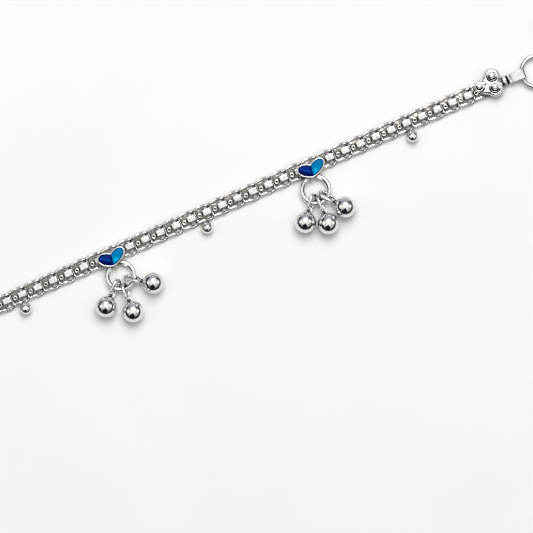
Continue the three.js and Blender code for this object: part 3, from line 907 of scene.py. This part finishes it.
class ANKLET_OT_beads(bpy.types.Operator):
    """Build the small drop beads on the chain's outer edge"""

    bl_idname = "anklet.beads"
    bl_label = "Drop beads"

    def execute(self, context):
        sizes = context.scene.anklet_bell
        route = Route()
        radius = sizes.bead / 2
        profile = ball(radius, 0.86 * pi, 23)
        profile += [(0.36 * MM, radius), (0.44 * MM, radius + 0.14 * MM), (0, radius + 0.15 * MM)]
        bead = lathe(profile, 36)
        upright = Matrix.Rotation(-pi / 2, 4, "X")
        for number, spacings in enumerate(BEADS_PAST_FIRST, 1):
            place = route.past_first(spacings) @ placed(y=-sizes.bead_reach, z=radius) @ upright
            fine(f"ball_{number}", bead, place)
        return {"FINISHED"}


# --- clasp ---

# The cap's bosses, with their place, radius and the width of the groove round them, its two small dots, and
# the strap from the side, as the way along from the cap's small lobe and the height, all in millimetres.
CAP_BOSSES = ((2.36, 1.0, 0.42, 0.1), (2.3, -0.8, 0.42, 0.1), (0.02, 0.02, 0.36, 0.09))
CAP_DOTS = ((0.75, 0.66), (0.99, 0.02))
STRAP_LINE = (
    *((3.2, 0.8), (3.85, 0.8), (4.1, 0.5), (4.38, 0.4), (4.48, 0.41), (4.54, 0.45), (5.22, 1.08)),
    *((5.27, 1.12), (5.34, 1.15), (5.46, 1.19), (5.66, 1.25), (5.9, 1.3), (6.2, 1.36), (6.5, 1.4)),
)
STRAP_CURL = (6.94, 0.79, 0.62)
KNUCKLE = (4.14, 0.97, 0.34)
CLASP_RING_FLATS = ((32, 62), (118, 148))


def cap_distance(x, y, sizes):
    """How far a point lies outside the cap's lobes, joined by a fourth; negative inside."""
    far, big, blend = sizes.cap_length, sizes.big_lobe, 0.17 * MM
    lobes = ((0, 0, sizes.small_lobe), (far, MM, big), (far, -MM, big), (1.15 * MM, -0.2 * MM, 1.3 * MM))
    total = sum(exp(-(hypot(x - cx, y - cy) - r) / blend) for cx, cy, r in lobes)
    return -blend * log(total)


def cap_relief(x, y):
    """The cast ornament on the cap: bosses with grooves round them and two small dots."""
    x, y, relief = x / MM, y / MM, 0.0
    for cx, cy, radius, cut in CAP_BOSSES:
        dx, dy = x - cx, y - cy
        away = hypot(dx, dy)
        low_left = smooth(-0.2, 0.6, (-dx * 0.45 - dy * 0.9) / max(away, 0.01))
        relief += 0.16 * (1 - smooth(0.4 * radius, 1.15 * radius, away))
        relief -= (0.1 + 0.22 * low_left) * 0.1 / cut * exp(-(((away - 1.24 * radius) / cut) ** 2))
        relief -= 0.3 * low_left * exp(-(((away - 0.81) / 0.09) ** 2))
    for cx, cy in CAP_DOTS:
        relief -= 0.22 * exp(-((hypot(x - cx, y - cy) / 0.13) ** 2))
    return relief * MM


def end_cap(sizes, rings=52, columns=192):
    """A cast cap: domed lobes that reach down to the table beside the chain and bridge over its end."""
    middle = Vector((1.55 * MM, 0))
    fall_width, fall, bridge = 0.38 * MM, 0.36 * MM, 0.98 * MM
    rims = []
    for i in range(columns):
        way = ray(tau * i / columns)
        near, far = 0.0, 4 * MM
        for _ in range(24):
            half = (near + far) / 2
            at = middle + way * half
            near, far = (half, far) if cap_distance(at.x, at.y, sizes) < 0 else (near, half)
        rims.append(way * near)

    def top_height(at):
        edge = min(max(-cap_distance(at.x, at.y, sizes) / fall_width, 0.0), 1.0)
        return sizes.cap_height - fall * (1 - edge) ** 2 + cap_relief(at.x, at.y) * smooth(0, 0.6, edge)

    def base_height(at):
        return bridge * (1 - smooth(0.95 * MM, 1.5 * MM, at.x))

    def ring(share, height):
        return [Vector((*at, height(at))) for at in (middle + rim * share for rim in rims)]

    under = [ring(share, base_height) for share in (0.25, 0.6, 0.97)]
    wall = ring(1.0, lambda at: base_height(at) + 0.12 * MM)
    over = [ring(1 - (1 - k / rings) ** 1.15, top_height) for k in range(rings, 0, -1)]
    bottom, top = (Vector((*middle, height(middle))) for height in (base_height, top_height))
    return between_poles(bottom, [*under, wall, *over], top)


def strap(sizes):
    """A flat strap with softened edges that curls round the clasp ring, and the knuckle at its cap end."""
    thick, wide = sizes.strap_thickness / 2, sizes.strap_width / 2
    soft = 0.07 * MM
    section = []
    for sx, sy in ((1, 1), (-1, 1), (-1, -1), (1, -1)):
        corner = [(sx * (thick - soft), sy * wide), (sx * (thick - 0.3 * soft), sy * (wide - 0.3 * soft))]
        corner += [(sx * thick, sy * (wide - soft)), (sx * thick, sy * (wide - 1.5 * soft))]
        section += corner if sx * sy < 0 else reversed(corner)
    x, z, curl = STRAP_CURL
    turns = [radians(angle) for angle in range(95, -120, -14)]
    line = [*STRAP_LINE, *[Vector((x, z)) + ray(turn, curl) for turn in turns]]
    shape = sweep([Vector((x, 0, z)) * MM for x, z in line], section, closed=False, up=Vector((0, 1, 0)))
    x, z, radius = (value * MM for value in KNUCKLE)
    roll = [Vector((x, y * wide, z)) for y in (-1, -0.94, 0.94, 1)]
    return shape.add(sweep(roll, circle(radius, 28), (0.86, 1.0, 1.0, 0.86), closed=False))


def askew(place, pivot, degrees):
    """A place turned a little about a point so many millimetres along it, as the loose clasp pieces lie."""
    return place @ placed(pivot * MM, turn=radians(degrees)) @ placed(-pivot * MM)


class ANKLET_OT_clasp(bpy.types.Operator):
    """Build the end caps, the hooked straps and the clasp ring"""

    bl_idname = "anklet.clasp"
    bl_label = "Clasp"

    def execute(self, context):
        sizes = context.scene.anklet_clasp
        for end, strap_node in (("a", "clasp_strap"), ("b", "hook_strap")):
            cap_at = askew(cap_place(end), 1.5, CAP_SKEW) @ placed(CAP_AHEAD)
            fine(f"end_cap_{end}", end_cap(sizes), cap_at, silver("Cast"), crease=60)
            strap_at = askew(cap_place(end), 5.6, STRAP_SKEW)
            fine(strap_node, strap(sizes), strap_at, crease=50)
        at = Vector(CLASP_RING_CENTRE) * MM + loop_shift()
        section = flattened(sizes.ring_wire / 2, CLASP_RING_FLATS)
        hoop = wire_loop(sizes.ring_outside, sizes.ring_outside, sizes.ring_wire, 84, section=section)
        fine("clasp_ring", hoop, placed(at.x, at.y, sizes.ring_height))
        return {"FINISHED"}


# --- stage ---

# The light tent: its shades by the height of a direction, and its patches with azimuth from the picture's
# right, elevation, size and softness in degrees, and shade. The key light stands so many metres to the right,
# up the picture and above its middle.
SKY_SHADES = ((0.0, 0.05), (0.2, 0.04), (0.38, 0.12), (0.54, 0.36), (0.74, 0.58), (0.95, 0.95))
SKY_STRENGTH = 1.1
WHITE, BLACK, LILAC = (1.15, 1.15, 1.17), (0.01, 0.01, 0.015), (0.4, 0.4, 0.46)
SKY_PATCHES = (
    (90, 20, 34, 12, LILAC),
    (176, 38, 14, 4, WHITE),
    (8, 36, 14, 4, WHITE),
    (212, 8, 22, 3, BLACK),
    (-54, 8, 18, 3, BLACK),
    (-98, 38, 27, 3, BLACK),
    (-92, 63, 12, 3, BLACK),
    (50, 30, 7, 2, BLACK),
    (141, 12, 8, 2, BLACK),
)
KEY_AT, KEY_SIZE, KEY_POWER = Vector((0.04, 0.36, 0.66)), 0.5, 3.8
SENSOR = 36.0


def sky_patch(tree, where, base, direction, size, softness, shade):
    """Mixes a soft round patch of one shade into the sky round a direction. Returns the new colour."""
    facing = {0: where, 1: Vector(direction).normalized()}
    edge = {"Value": add_node(tree, "ShaderNodeVectorMath", facing, operation="DOT_PRODUCT").outputs["Value"]}
    edge["From Min"] = cos(radians(size + softness))
    edge["From Max"] = cos(radians(size - softness))
    patch = add_node(tree, "ShaderNodeMapRange", edge, interpolation_type="SMOOTHSTEP")
    return mixed(tree, base, (*shade, 1.0), "MIX", patch.outputs["Result"])


def compass(azimuth, elevation, turn):
    """A direction: azimuth 0 is the picture's right, 90 its top; elevation is above the table."""
    across, up = ray(radians(elevation))
    return (*ray(radians(azimuth + turn), across), up)


def make_sky(scene, turn):
    """A white light tent with darker openings, which polished silver needs for its black accents."""
    world = bpy.data.worlds.new("Light tent")
    world.use_nodes = True
    scene.world = world
    tree = world.node_tree
    where = add_node(tree, "ShaderNodeTexCoord").outputs["Generated"]
    split = add_node(tree, "ShaderNodeSeparateXYZ", {"Vector": where})
    stops = [(height, (shade, shade, shade * 0.985)) for height, shade in SKY_SHADES]
    colour = ramp(tree, split.outputs["Z"], stops)
    for azimuth, elevation, size, softness, shade in SKY_PATCHES:
        colour = sky_patch(tree, where, colour, compass(azimuth, elevation, turn), size, softness, shade)
    feed(tree, tree.nodes["Background"], {"Color": colour, "Strength": SKY_STRENGTH})


def area_light(name, at, towards, size, power):
    """A round area light that looks towards a point."""
    lamp = bpy.data.lights.new(name, "AREA")
    lamp.shape = "DISK"
    lamp.size = size
    lamp.energy = power
    made = add_object(name, lamp)
    made.location = at
    made.rotation_euler = (towards - at).to_track_quat("-Z", "Y").to_euler()
    return made


def table_material(colour):
    """A plain pale table top with the slightest unevenness."""
    material, tree, shader, surface = surfaced("Pale table", 40.0, 60.0, 0.02)
    tones = ((0.35, tuple(0.985 * c for c in colour)), (0.65, tuple(colour)))
    top = ramp(tree, surface["Mask"], tones)
    feed(tree, shader, {"Base Color": top, "Roughness": 0.6, "Specular IOR Level": 0.2})
    return material


class ANKLET_OT_stage(bpy.types.Operator):
    """Set the table, the light and the camera"""

    bl_idname = "anklet.stage"
    bl_label = "Table, light and camera"

    def execute(self, context):
        scene = context.scene
        sizes = scene.anklet_stage
        focus = Vector((*(Vector(sizes.look_at) + loop_shift()), 0.0))
        table = Shape()
        table.points = [Vector((x, y, 0)) for x, y in ((-2, -2), (2, -2), (2, 2), (-2, 2))]
        table.faces = [(0, 1, 2, 3)]
        mesh_object("table_top", table, table_material(sizes.floor_colour))
        make_sky(scene, -sizes.turn)
        turn = Matrix.Rotation(radians(-sizes.turn), 3, "Z")
        right, up = turn.col[0], turn.col[1]
        area_light("Key", focus + turn @ KEY_AT, focus, KEY_SIZE, KEY_POWER)
        camera = add_object("Camera", bpy.data.cameras.new("Camera"))
        camera.data.lens = sizes.lens
        camera.data.sensor_width = SENSOR
        camera.data.clip_start = 0.01
        distance = sizes.picture_width * sizes.lens / SENSOR
        tilt = radians(sizes.elevation)
        back = -up * cos(tilt) + Vector((0, 0, sin(tilt)))
        camera.location = focus + back * distance
        rise = up * sin(tilt) + Vector((0, 0, cos(tilt)))
        camera.rotation_euler = Matrix((right, rise, back)).transposed().to_euler()
        scene.camera = camera
        scene.view_settings.view_transform = "Standard"
        return {"FINISHED"}


# --- add-on ---

STEPS = ("chain", "hearts", "bells", "beads", "clasp", "stage")


class ANKLET_PT_panel(bpy.types.Panel):
    """The anklet's steps and sizes"""

    bl_idname = "ANKLET_PT_panel"
    bl_label = "Payal anklet"
    bl_space_type = "VIEW_3D"
    bl_region_type = "UI"
    bl_category = "Anklet"

    def draw(self, context):
        layout = self.layout
        for step in STEPS:
            layout.operator(f"anklet.{step}")
        for kind in SETTINGS:
            box = layout.box()
            box.label(text=kind.capitalize())
            group = getattr(context.scene, f"anklet_{kind}")
            for name in SETTINGS[kind].__annotations__:
                box.prop(group, name)


SETTINGS = {
    "chain": ChainSettings,
    "heart": HeartSettings,
    "bell": BellSettings,
    "clasp": ClaspSettings,
    "stage": StageSettings,
}
OPERATORS = (
    *(ANKLET_OT_chain, ANKLET_OT_hearts, ANKLET_OT_bells),
    *(ANKLET_OT_beads, ANKLET_OT_clasp, ANKLET_OT_stage),
)
CLASSES = (*SETTINGS.values(), *OPERATORS, ANKLET_PT_panel)


def register():
    for kind in CLASSES:
        bpy.utils.register_class(kind)
    for name, kind in SETTINGS.items():
        setattr(bpy.types.Scene, f"anklet_{name}", PointerProperty(type=kind))


def unregister():
    for name in SETTINGS:
        delattr(bpy.types.Scene, f"anklet_{name}")
    for kind in reversed(CLASSES):
        bpy.utils.unregister_class(kind)


def main():
    """Registers the add-on and builds every piece."""
    register()
    for step in STEPS:
        getattr(bpy.ops.anklet, step)()


if __name__ == "__main__":
    main()
